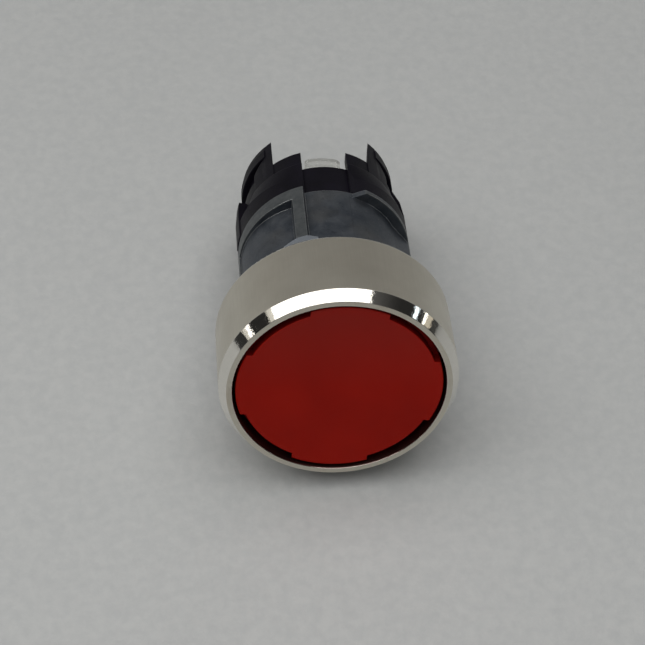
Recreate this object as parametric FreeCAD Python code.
import FreeCAD, Part
import math
import os

# Operator head of a 22 mm class illuminated push button, in millimetres.
# The axis of the button is the Y axis. The face that is pressed looks along -Y
# and the barrel runs back along +Y. The origin is on the axis, in the plane of
# the bezel's rear face, where the head seats on the front of the panel.
# +Z runs through the middle of the upper key channel.
#
# Places along the axis are stations: the distance back from the front rim of
# the bezel, so y = station - SEAT. Angles are in degrees about the axis, from
# +Z towards +X.
#
# Endings of the names: _R radius, _A station, _T angle, _X distance from the
# YZ plane, _W width. Every turned profile lists its corners as
# (radius, station[, rounding]).

SEAT = 11.45            # front rim to seating face: bezel height

Vector = FreeCAD.Vector
ORIGIN = Vector(0, 0, 0)
AXIS = Vector(0, 1, 0)


# ------------------------------------------------------------------- helpers
def place(x, station, z):
    """Point at a station."""
    return Vector(x, station - SEAT, z)


def polar(radius, angle):
    """(x, z) at a radius and an angle about the axis."""
    angle = math.radians(angle)
    return (radius * math.sin(angle), radius * math.cos(angle))


def line(start, end):
    return Part.LineSegment(start, end).toShape()


def arc(start, middle, end):
    return Part.Arc(start, middle, end).toShape()


def outline(corners):
    """Closed wire in the YZ plane from (radius, station[, rounding]) corners."""
    points = [place(0, corner[1], corner[0]) for corner in corners]
    count = len(points)
    joints = []         # start, middle and end of each corner's rounding
    for i, point in enumerate(points):
        rounding = corners[i][2] if len(corners[i]) > 2 else 0.0
        if rounding <= 0:
            joints.append((point, None, point))
            continue
        back = points[i - 1] - point
        ahead = points[(i + 1) % count] - point
        back.normalize()
        ahead.normalize()
        half = back.getAngle(ahead) / 2.0
        setback = rounding / math.tan(half)
        inward = back + ahead
        inward.normalize()
        centre = point + inward * (rounding / math.sin(half))
        joints.append((point + back * setback, centre - inward * rounding,
                       point + ahead * setback))
    edges = []
    for i, (start, middle, end) in enumerate(joints):
        if middle is not None:
            edges.append(arc(start, middle, end))
        following = joints[(i + 1) % count][0]
        if (following - end).Length > 1e-6:
            edges.append(line(end, following))
    return Part.Wire(edges)


def turned(corners, start_t=None, end_t=None):
    """Profile turned about the axis, all the way or between two angles."""
    face = Part.Face(outline(corners))
    if start_t is None:
        return face.revolve(ORIGIN, AXIS, 360)
    face.rotate(ORIGIN, AXIS, start_t)
    return face.revolve(ORIGIN, AXIS, end_t - start_t)


def ring(inner, outer, front, rear, front_round=0.0, rear_round=0.0, angles=()):
    """Ring of rectangular section, or the part of it between two angles."""
    return turned([
        (inner, front, front_round),
        (outer, front, front_round),
        (outer, rear, rear_round),
        (inner, rear, rear_round),
    ], *angles)


def cylinder(radius, front, rear, x=0.0, z=0.0):
    return Part.makeCylinder(radius, rear - front, place(x, front, z), AXIS)


def prism(points, sweep):
    return Part.Face(Part.makePolygon(points + points[:1])).extrude(sweep)


def along_axis(corners, front, rear):
    """Prism along the axis from (x, z) corners."""
    return prism([place(x, front, z) for x, z in corners], Vector(0, rear - front, 0))


def along_z(corners, low, high):
    """Prism along Z from (x, station) corners."""
    return prism([place(x, station, low) for x, station in corners],
                 Vector(0, 0, high - low))


def along_x(corners, low, high):
    """Prism along X from (z, station) corners."""
    return prism([place(low, station, z) for z, station in corners],
                 Vector(high - low, 0, 0))


def side_bars(inner_x, outer_x, front, rear, width, radius):
    """Two bars at -X and +X, across the XY plane, rounded off to a radius."""
    bars = []
    for x in (-outer_x, inner_x):
        bar = Part.makeBox(outer_x - inner_x, rear - front, width,
                           place(x, front, -width / 2))
        bars.append(bar.common(cylinder(radius, front, rear)))
    return bars


def half_turn(shape):
    other = shape.copy()
    other.rotate(ORIGIN, AXIS, 180)
    return other


def save(shape, node):
    shape = shape.removeSplitter()
    solids = shape.Solids
    if len(solids) != 1 or not shape.isValid():
        raise RuntimeError("%s: %d solids, valid %s" % (node, len(solids), shape.isValid()))
    solids[0].exportStep("parts/%s.step" % node)


# ---------------------------------------------------------------- bezel ring
BEZEL_R = 14.5          # outside radius, 29 mm across
BEZEL_BORE = 12.9       # bore round the lens
RIM_R = 13.6            # outer edge of the flat front rim
CHAMFER_A = 1.4         # where the polished chamfer ends
REAR_EDGE = 0.45        # rounding of the rear edge
WEB_A = 9.6             # front of the web that holds the body's flange
WEB_BORE = 11.12
GASKET_GROOVE_R = (12.5, 13.7)      # inner, outer
GASKET_GROOVE_A = SEAT - 1.0        # floor of the gasket groove
LUG_T = -19.7           # middle of the index lug
LUG_R, LUG_A = 12.45, 14.85
LUG_BASE_A, LUG_SHOULDER_A = WEB_A + 0.9, 14.15
LUG_TOP_X = (-0.65, 0.6)            # flat top, across
LUG_BASE_X = (-2.4, 1.95)           # sides below its shoulders
LUG_Z = (9.0, 13.0)     # stock before it is rounded off, at the top of the ring


def bezel_ring():
    """A cup with a mirror chamfer, an open bore for the lens and a web behind.

    The web's rear face seats on the panel and carries the gasket groove.
    """
    inner, outer = GASKET_GROOVE_R
    bezel = turned([
        (BEZEL_BORE, 0.0, 0.08),
        (RIM_R, 0.0, 0.06),
        (BEZEL_R, CHAMFER_A, 0.12),
        (BEZEL_R, SEAT, REAR_EDGE),
        (outer, SEAT, 0.08),
        (outer, GASKET_GROOVE_A),
        (inner, GASKET_GROOVE_A),
        (inner, SEAT),
        (WEB_BORE, SEAT),
        (WEB_BORE, WEB_A, 0.15),
        (BEZEL_BORE, WEB_A),
    ])
    # Index lug: drops into the notch of the panel cut-out.
    lug = along_z([
        (LUG_BASE_X[0], LUG_BASE_A), (LUG_BASE_X[0], LUG_SHOULDER_A),
        (LUG_TOP_X[0], LUG_A), (LUG_TOP_X[1], LUG_A),
        (LUG_BASE_X[1], LUG_SHOULDER_A), (LUG_BASE_X[1], LUG_BASE_A),
    ], *LUG_Z)
    lug = lug.common(cylinder(LUG_R, WEB_A, LUG_A + 1))
    lug = lug.cut(cylinder(WEB_BORE, WEB_A, LUG_A + 1))
    lug.rotate(ORIGIN, AXIS, LUG_T)
    return bezel.fuse(lug)


# -------------------------------------------------------------- panel gasket
SEAL_GAP = 0.05         # gasket and bezel seal to the walls of their grooves


def panel_gasket():
    inner, outer = GASKET_GROOVE_R
    return ring(inner + SEAL_GAP, outer - SEAL_GAP, GASKET_GROOVE_A + SEAL_GAP, SEAT,
                0.15, 0.25)


# ------------------------------------------------------------- mounting body
BODY_R = 11.05          # passes a 22.3 to 22.5 mm cut-out
BODY_END = 27.0
FLANGE_R = 12.88
FLANGE_A = 7.95
SEAL_GROOVE_R = (11.5, 12.3)        # bezel seal's groove: inner, outer
SEAL_GROOVE_A = WEB_A - 0.8         # its floor
SPIGOT_END = 13.2       # full-round band behind the seating face
CUP_R = 10.0            # bore that holds the lip seal
CUP_END = 11.0
LAND_R = 8.0            # guides the plunger
LAND_END = 13.0
CHAMBER_R = 9.0         # spring chamber
RIB_GROOVE_W, RIB_GROOVE_R = 2.4, 9.7
RIB_GROOVE_X = (6.9, 10.9)          # stock of the cut
CLIP_GROOVE_R, CLIP_A0, CLIP_A1 = 9.3, 25.3, 26.0
CHANNEL_R = 9.8         # floor of the key channels
CHANNEL_T = 17.6        # half angle of a key channel
FRAME_T = -25.2         # far edge of the raised frame beside the channel
POCKET_END = 24.8
POCKET_FLOOR_X, POCKET_FLOOR_R = -1.72, 9.08    # its off-centre floor climbs outwards
GROOVE_R = 9.75         # floor of the collar groove beside the channel
GROOVE_START_T = CHANNEL_T - 2.0    # overlaps the channel
GROOVE_T = 61.0         # where the groove's floor starts to climb
GROOVE_OUT_T = 80.0     # where it comes out flush with the barrel
GROOVE_OUTER_R = 13.0   # outside of the cut, clear of the barrel
RIM_A = 26.2            # front of the thin rim behind the groove
FLUSH_R = BODY_R + 0.02             # where climbing floors leave the barrel
LEAD_IN_T = (16.5, 18.6, 26.0)      # start, foot and end of the lead-in ramp
LEAD_IN_OUTER_R, LEAD_IN_A = 12.4, 24.0


def pocket_cut():
    """Pocket beyond the frame: its floor climbs towards the barrel's surface."""
    frame_x = polar(BODY_R, FRAME_T)[0]
    pocket = along_z([
        (frame_x, SPIGOT_END), (frame_x, POCKET_END),
        (-12.5, POCKET_END), (-12.5, SPIGOT_END),
    ], 0.6, 12.0)
    pocket = pocket.cut(cylinder(POCKET_FLOOR_R, SEAT, SEAT + 20, x=POCKET_FLOOR_X))
    return pocket.common(cylinder(12.0, SPIGOT_END, BODY_END))


def collar_groove_cut():
    """Groove that opens into the key channel and runs out to the surface.

    The thin rim behind it holds the turned collar.
    """
    def at(radius, angle):
        x, z = polar(radius, angle)
        return place(x, SPIGOT_END, z)

    outer_start = at(GROOVE_OUTER_R, GROOVE_START_T)
    outer_middle = at(GROOVE_OUTER_R, (GROOVE_START_T + GROOVE_OUT_T) / 2)
    outer_end = at(GROOVE_OUTER_R, GROOVE_OUT_T)
    floor_start = at(GROOVE_R, GROOVE_START_T)
    floor_middle = at(GROOVE_R, (GROOVE_START_T + GROOVE_T) / 2)
    floor_end = at(GROOVE_R, GROOVE_T)
    run_out = at(FLUSH_R, GROOVE_OUT_T)
    section = Part.Wire([
        line(outer_start, floor_start),
        arc(floor_start, floor_middle, floor_end),
        line(floor_end, run_out),
        line(run_out, outer_end),
        arc(outer_end, outer_middle, outer_start),
    ])
    return Part.Face(section).extrude(Vector(0, RIM_A - SPIGOT_END, 0))


def lead_in_cut():
    """Ramp at the open end of the rim."""
    start, foot, end = LEAD_IN_T
    return along_axis([
        polar(CHANNEL_R, start), polar(CHANNEL_R, foot), polar(FLUSH_R, end),
        polar(LEAD_IN_OUTER_R, end), polar(LEAD_IN_OUTER_R, start),
    ], LEAD_IN_A, BODY_END + 1)


def mounting_body():
    """Die-cast barrel with a flange that the bezel clamps.

    Behind a full-round spigot band come key channels, shallow pockets and cam
    grooves for the collar that is pushed on from behind and turned. These
    cut-outs repeat after half a turn.
    """
    body = turned([
        (LAND_R, CUP_END, 0.12),
        (CUP_R, CUP_END),
        (CUP_R, FLANGE_A, 0.15),
        (FLANGE_R, FLANGE_A, 0.2),
        (FLANGE_R, WEB_A, 0.1),
        (SEAL_GROOVE_R[1], WEB_A),
        (SEAL_GROOVE_R[1], SEAL_GROOVE_A),
        (SEAL_GROOVE_R[0], SEAL_GROOVE_A),
        (SEAL_GROOVE_R[0], WEB_A),
        (BODY_R, WEB_A, 0.1),
        (BODY_R, BODY_END, 0.18),
        (CHAMBER_R, BODY_END, 0.2),
        (CHAMBER_R, CLIP_A1),
        (CLIP_GROOVE_R, CLIP_A1),
        (CLIP_GROOVE_R, CLIP_A0),
        (CHAMBER_R, CLIP_A0),
        (CHAMBER_R, LAND_END),
        (LAND_R, LAND_END, 0.12),
    ])
    # guide grooves for the plunger's ribs in the spring chamber
    cuts = side_bars(*RIB_GROOVE_X, LAND_END, BODY_END + 1, RIB_GROOVE_W, RIB_GROOVE_R)
    channel = ring(CHANNEL_R, 12.5, SPIGOT_END, BODY_END + 1,
                   angles=(-CHANNEL_T, CHANNEL_T))
    for cut in (channel, pocket_cut(), collar_groove_cut(), lead_in_cut()):
        cuts += [cut, half_turn(cut)]
    for cut in cuts:
        body = body.cut(cut)
    return body


# ---------------------------------------------- seals and rings in the body
CLIP_GAP_T = 8.0        # half angle of the circlip's gap, about -Z
CLIP_EAR_T = (8.1, 23.0)            # edges of an ear, from -Z
CLIP_HOLE_T = sum(CLIP_EAR_T) / 2 - 2.0
CLIP_HOLE_R = 0.36
CLIP_HOLE_PITCH_R = 8.5
SPRING_RETAINER_A = CLIP_A0 - 0.7   # its front


def bezel_seal():
    inner, outer = SEAL_GROOVE_R
    return ring(inner + SEAL_GAP, outer - SEAL_GAP, SEAL_GROOVE_A + SEAL_GAP, WEB_A,
                0.12, 0.12)


def plunger_seal():
    """Lip seal: a heel in the body's cup and a thin lip that wipes the plunger."""
    return turned([
        (9.98, 8.84, 0.15),
        (9.98, 10.96, 0.15),
        (8.5, 10.96, 0.1),
        (7.93, 10.0),
        (7.93, 9.65),
        (8.12, 9.52),
        (8.75, 10.15, 0.1),
        (9.2, 10.15, 0.1),
        (9.2, 8.84, 0.1),
    ])


def seal_retainer():
    return ring(8.4, 9.97, 8.08, 8.8, 0.1, 0.1)


def spring_retainer():
    return ring(7.78, 8.95, SPRING_RETAINER_A, CLIP_A0 - 0.02, 0.12, 0.08)


def retaining_ring():
    """Internal circlip: open ring with two ears and plier holes, gap downwards."""
    front, rear = CLIP_A0 + 0.05, CLIP_A1 - 0.05
    clip = ring(8.2, 9.26, front, rear, 0.05, 0.05)
    clip = clip.cut(ring(7.0, 10.0, front - 1, rear + 1,
                         angles=(180 - CLIP_GAP_T, 180 + CLIP_GAP_T)))
    for side in (-1, 1):
        edges = sorted(180 + side * angle for angle in CLIP_EAR_T)
        clip = clip.fuse(ring(7.85, 9.24, front, rear, angles=edges))
        x, z = polar(CLIP_HOLE_PITCH_R, 180 + side * CLIP_HOLE_T)
        clip = clip.cut(cylinder(CLIP_HOLE_R, front - 1, front + 2, x, z))
    return clip


# ------------------------------------------------------------------- plunger
PLUNGER_R = 7.9
PLUNGER_BORE = 6.6
PLUNGER_A = 3.6
STOP_A0, STOP_A1, STOP_R = 13.05, 14.3, 8.9     # stop flange
RIB_W, RIB_R = RIB_GROOVE_W - 0.2, RIB_GROOVE_R - 0.1
RIB_ROOT_X = 8.2        # inside the stop flange
TAIL_R = 7.6
TAIL_END = 27.1
NECK_R = 7.3
PLUNGER_END = 30.5


def plunger():
    shape = turned([
        (PLUNGER_BORE, PLUNGER_A, 0.15),
        (PLUNGER_R, PLUNGER_A, 0.3),
        (PLUNGER_R, STOP_A0),
        (STOP_R, STOP_A0, 0.1),
        (STOP_R, STOP_A1, 0.1),
        (TAIL_R, STOP_A1),
        (TAIL_R, TAIL_END, 0.1),
        (NECK_R, TAIL_END),
        # bead round the neck
        (NECK_R, 29.25),
        (7.6, 29.35, 0.08),
        (7.6, 29.6, 0.08),
        (NECK_R, 29.95),
        (NECK_R, PLUNGER_END, 0.2),
        (PLUNGER_BORE, PLUNGER_END, 0.15),
        # groove in the bore for the lens carrier's bead
        (PLUNGER_BORE, 7.3),
        (6.8, 7.15),
        (6.8, 6.55),
        (PLUNGER_BORE, 6.4),
    ])
    for rib in side_bars(RIB_ROOT_X, RIB_R, STOP_A0, STOP_A1, RIB_W, RIB_R):
        shape = shape.fuse(rib)
    return shape


# ------------------------------------------------------------- return spring
WIRE = 0.9              # wire diameter
COIL_R = 8.3
COILS = 6.0
CLOSED_TURNS = 0.85     # turns at each end that lie almost flat
CLOSED_PITCH = 0.96     # rise per turn in the closed coils
SPRING_GAP = 0.03       # wire to the faces it stands between
COIL_A0 = STOP_A1 + WIRE / 2 + SPRING_GAP               # wire's centre, front end
COIL_A1 = SPRING_RETAINER_A - WIRE / 2 - SPRING_GAP     # wire's centre, rear end
FREE_PITCH = ((COIL_A1 - COIL_A0 - 2 * CLOSED_TURNS * CLOSED_PITCH)
              / (COILS - 2 * CLOSED_TURNS))
STEPS_PER_TURN = 20
EASE_TURNS = 0.17       # the pitch is averaged over this much of a turn
EASE_SAMPLES = 8


def rise(turns):
    """Station of the wire's centre, with sharp changes of pitch."""
    if turns < CLOSED_TURNS:
        return COIL_A0 + CLOSED_PITCH * turns
    if turns > COILS - CLOSED_TURNS:
        return COIL_A1 - CLOSED_PITCH * (COILS - turns)
    return COIL_A0 + CLOSED_PITCH * CLOSED_TURNS + FREE_PITCH * (turns - CLOSED_TURNS)


def smooth_rise(turns):
    """The same, averaged so that the pitch eases in."""
    total = 0.0
    for k in range(EASE_SAMPLES):
        total += rise(turns + EASE_TURNS * ((k + 0.5) / EASE_SAMPLES - 0.5))
    return total / EASE_SAMPLES


def return_spring():
    """Round wire between the plunger's stop flange and the spring retainer."""
    path = []
    for i in range(int(COILS * STEPS_PER_TURN) + 1):
        turns = i / STEPS_PER_TURN
        x, z = polar(COIL_R, 360 * turns)
        path.append(place(x, smooth_rise(turns), z))
    curve = Part.BSplineCurve()
    curve.interpolate(path)
    start = curve.value(curve.FirstParameter)
    heading = curve.tangent(curve.FirstParameter)[0]
    section = Part.Wire([Part.makeCircle(WIRE / 2, start, heading)])
    return Part.Wire([curve.toShape()]).makePipeShell([section], True, True)


# ----------------------------------------------------- lens and its carrier
LENS_FACE = 0.3
LENS_BACK = 1.75
LENS_R = 12.5           # over the tabs
NOTCH_R = 11.85         # between the tabs
TAB_X = 4.65            # half width of the four square-sided tabs
TAB_TURN = 2.7
TAB_ROOT_R = 10.6
SKIRT_R0, SKIRT_R1, SKIRT_END = 10.2, 11.0, 2.8
DISH_A = 1.8            # front of the lens carrier's rim and of the diffuser
SLEEVE_R0 = 5.7         # bore of the lens carrier's sleeve
SLEEVE_R1 = PLUNGER_BORE - 0.05


def lens_cap():
    """Flat translucent disc with four tabs round its edge and a skirt behind."""
    cap = turned([
        (0.0, LENS_FACE),
        (NOTCH_R, LENS_FACE, 0.14),
        (NOTCH_R, LENS_BACK, 0.05),
        (SKIRT_R1, LENS_BACK),
        (SKIRT_R1, SKIRT_END, 0.1),
        (SKIRT_R0, SKIRT_END, 0.1),
        (SKIRT_R0, LENS_BACK),
        (0.0, LENS_BACK),
    ])
    rim = turned([
        (TAB_ROOT_R, LENS_FACE),
        (LENS_R, LENS_FACE, 0.14),
        (LENS_R, LENS_BACK, 0.05),
        (TAB_ROOT_R, LENS_BACK),
    ])
    for k in range(4):
        tab = rim.common(Part.makeBox(2 * TAB_X, 10, 14, place(-TAB_X, -2, 0)))
        tab.rotate(ORIGIN, AXIS, 90.0 * k + TAB_TURN)
        cap = cap.fuse(tab)
    return cap


def lens_seal():
    return ring(SKIRT_R1 + 0.07, 11.39, 1.9, SKIRT_END, 0.1, 0.1)


def diffuser_disc():
    radius = SKIRT_R0 - 0.1
    return turned([
        (0.0, DISH_A),
        (radius, DISH_A, 0.1),
        (radius, SKIRT_END, 0.1),
        (0.0, SKIRT_END),
    ])


def lens_carrier():
    """Black dish under the cap, with a sleeve that snaps into the plunger."""
    return turned([
        (SLEEVE_R0, 2.9, 0.1),
        (11.45, 2.9),
        (11.45, DISH_A, 0.1),
        (LENS_R, DISH_A, 0.15),
        (LENS_R, 3.5, 0.25),
        (SLEEVE_R1, 3.5, 0.1),
        (SLEEVE_R1, 6.5),
        (6.74, 6.7, 0.05),
        (6.74, 7.0, 0.05),
        (SLEEVE_R1, 7.2),
        (SLEEVE_R1, 8.0, 0.2),
        (SLEEVE_R0, 8.0, 0.1),
    ])


# --------------------------------------------------------------- light guide
GUIDE_BORE = 4.6
GUIDE_TUBE_R = SLEEVE_R0 - 0.1
GUIDE_FLANGE_A = 30.56
GUIDE_SKIRT_R = (7.2, 8.2)          # inner, outer
TONGUE_X = 2.32         # half width
TONGUE_A0, TONGUE_A1 = 31.8, 36.3
TONGUE_ROUND = 0.7      # its two rear corners


def light_guide():
    """Clear tube behind the diffuser, with a flange on the plunger's end.

    A rear skirt carries two rounded tongues that reach towards the lamp block.
    """
    inner, outer = GUIDE_SKIRT_R
    guide = turned([
        (GUIDE_BORE, 2.95, 0.1),
        (GUIDE_TUBE_R, 2.95, 0.1),
        (GUIDE_TUBE_R, GUIDE_FLANGE_A),
        (outer, GUIDE_FLANGE_A, 0.2),
        (outer, 34.0, 0.2),
        (inner, 34.0, 0.2),
        (inner, 31.3, 0.2),
        (GUIDE_BORE, 31.3, 0.2),
    ])

    def is_rear_side(edge):
        """True for the edges of the rear end that run along Z."""
        start, end = [vertex.Point for vertex in edge.Vertexes]
        return (abs(start.y + SEAT - TONGUE_A1) < 1e-6
                and abs(end.y + SEAT - TONGUE_A1) < 1e-6
                and abs(start.x - end.x) < 1e-6)

    tongue = Part.makeBox(2 * TONGUE_X, TONGUE_A1 - TONGUE_A0, 9.0,
                          place(-TONGUE_X, TONGUE_A0, 0))
    tongue = tongue.makeFillet(TONGUE_ROUND, [e for e in tongue.Edges if is_rear_side(e)])
    tongue = tongue.common(ring(inner, outer, 31.5, 37.0))
    return guide.fuse(tongue).fuse(half_turn(tongue))


# ------------------------------------------------------------- actuator ring
RING_A = 27.15
RING_BORE = 7.35
RING_STEP_A = 29.2      # where the bore widens to WALL_R0
WALL_R0 = 8.4
RING_R = 9.95           # tall walls
RING_CHANNEL_R = 9.45
RING_CHANNEL_X = 2.93   # half width of the key channel in the ring
RING_LOW_A = 32.7
BLOCK_X = 6.42          # half width across the two stepped blocks
LEAN_X = 5.9            # one edge of each side wall leans in to this
BLOCK_R = 9.85
BLOCK_A = 35.9
WALL_A = 40.75
FOOT_X = 1.70           # the foot bulges to the barrel's radius on both sides
FOOT_R = BODY_R - FOOT_X
FOOT_A0, FOOT_A1 = 30.5, 33.3       # it tapers back to the wall between these
FOOT_TOP_X, FOOT_TOP_R = 0.25, 9.9
FOOT_BORE = 8.8
RECESS_A = 30.3
RECESS_R = 9.2
RECESS_T = 61.0
RECESS_NARROW_END = 36.8
STEP_T = 12.0           # half angle of the tapered step in each recess
GUIDE_T = (77.0, 89.0, 102.0)       # guide rib: ramped part, then square part
GUIDE_R, GUIDE_A = 11.15, 34.5
GUIDE_ROOT_R = 9.0
GUIDE_FRONT_A = RING_A + 0.05
RAMP_R, RAMP_A = 10.0, 37.35        # where the ramp runs out in the recess
HOOK_A = 38.3
HOOK_R = 10.1
HOOK_T = 47.0


def wall_blank():
    """Tall wall on the +X side, its edges cut straight across."""
    walls = turned([
        (RING_BORE + 0.2, RING_A + 0.3),
        (WALL_R0, RING_A),
        (RING_R, RING_A, 0.15),
        (RING_R, WALL_A, 0.15),
        (WALL_R0 + 0.25, WALL_A, 0.1),
        (WALL_R0, WALL_A - 0.8),
        (WALL_R0, RING_STEP_A),
        (RING_BORE + 0.2, RING_STEP_A - 0.2),
    ])
    front, back = RING_A - 1, WALL_A + 1
    leaning = along_z([
        (LEAN_X, front), (LEAN_X, BLOCK_A), (BLOCK_X, WALL_A),
        (BLOCK_X, back), (14, back), (14, front),
    ], 0, 14)
    straight = along_z([
        (BLOCK_X, front), (BLOCK_X, back), (14, back), (14, front),
    ], -14, 0)
    return walls.common(leaning.fuse(straight))


def wall_foot():
    """Eccentric drum and taper that widen the wall to the barrel's size."""
    drum = cylinder(FOOT_R, RING_A + 0.02, FOOT_A0, x=FOOT_X)
    taper = Part.makeLoft([
        Part.Wire([Part.makeCircle(radius, place(x, station, 0), AXIS)])
        for x, radius, station in ((FOOT_X, FOOT_R, FOOT_A0),
                                   (FOOT_TOP_X, FOOT_TOP_R, FOOT_A1))
    ], True)
    foot = drum.fuse(taper).cut(cylinder(FOOT_BORE, RING_A - 1, WALL_A + 1))
    return foot.common(Part.makeBox(12, 30, 30, place(RING_CHANNEL_X, RING_A - 5, -15)))


def latch_recess():
    """Cut that is wide at the hook band, narrower in front and open to the foot.

    The tapered step is left standing in its middle.
    """
    narrow_z = polar(RING_R, RECESS_T)[1]
    wide_z = polar(RING_R, HOOK_T + 2)[1]
    recess = along_x([
        (narrow_z, RECESS_A), (narrow_z, RECESS_NARROW_END), (wide_z, HOOK_A),
        (-wide_z, HOOK_A), (-narrow_z, RECESS_NARROW_END), (-narrow_z, RECESS_A),
    ], 3.0, 13.0)
    recess = recess.cut(cylinder(RECESS_R, 29.0, 41.0))
    return recess.cut(ring(8.5, 13.0, RECESS_A - 1, FOOT_A1,
                           angles=(90 - STEP_T, 90 + STEP_T)))


def side_wall():
    """Whole side wall at +X, with its recess, hook band and guide rib."""
    hook = turned([
        (FOOT_BORE, HOOK_A + 0.01),
        (HOOK_R, HOOK_A + 0.01, 0.1),
        (HOOK_R, WALL_A - 0.9, 0.15),
        (RING_R - 0.15, WALL_A - 0.02, 0.1),
        (FOOT_BORE, WALL_A - 0.02),
    ], HOOK_T, 180 - HOOK_T)
    rib = turned([
        (GUIDE_ROOT_R, GUIDE_FRONT_A),
        (GUIDE_R, GUIDE_FRONT_A, 0.2),
        (GUIDE_R, GUIDE_A - 2.3, 0.8),
        (GUIDE_R - 0.2, GUIDE_A, 0.15),
        (GUIDE_ROOT_R, GUIDE_A),
    ], *GUIDE_T[1:])
    ramp = turned([
        (GUIDE_ROOT_R, GUIDE_FRONT_A),
        (GUIDE_R - 0.1, GUIDE_FRONT_A, 0.2),
        (GUIDE_R - 0.1, GUIDE_A - 3.0, 0.5),
        (GUIDE_R - 0.35, GUIDE_A, 0.2),
        (RAMP_R, RAMP_A, 0.1),
        (GUIDE_ROOT_R, RAMP_A),
    ], *GUIDE_T[:2])
    wall = wall_blank().fuse(wall_foot()).cut(latch_recess())
    return wall.fuse(hook).fuse(rib.fuse(ramp))


def actuator_ring():
    """Castellated ring on the plunger's tail, just behind the body.

    Low walls continue the key channels, stepped blocks stand beside them and
    two tall side walls carry the latch recesses and hook bands.
    """
    low = turned([
        (RING_BORE, RING_A, 0.1),
        (RING_CHANNEL_R, RING_A, 0.15),
        (RING_CHANNEL_R, RING_LOW_A, 0.15),
        (WALL_R0, RING_LOW_A, 0.15),
        (WALL_R0, RING_STEP_A),
        (RING_BORE, RING_STEP_A, 0.1),
    ])
    blocks = turned([
        (RING_BORE + 0.2, RING_A + 0.3),
        (WALL_R0, RING_A),
        (BLOCK_R, RING_A, 0.15),
        (BLOCK_R, BLOCK_A, 0.15),
        (WALL_R0, BLOCK_A, 0.1),
        (WALL_R0, RING_STEP_A),
        (RING_BORE + 0.2, RING_STEP_A - 0.2),
    ])
    blocks = blocks.cut(Part.makeBox(2 * RING_CHANNEL_X, 20, 30,
                                     place(-RING_CHANNEL_X, RING_A - 1, -15)))
    side = side_wall()
    blocks = blocks.fuse(side).fuse(half_turn(side))
    return low.fuse(blocks)


os.makedirs("parts", exist_ok=True)
for piece in (
    bezel_ring, panel_gasket, mounting_body, bezel_seal, plunger_seal, seal_retainer,
    spring_retainer, retaining_ring, return_spring, lens_cap, lens_seal, diffuser_disc,
    lens_carrier, plunger, light_guide, actuator_ring,
):
    save(piece(), piece.__name__)
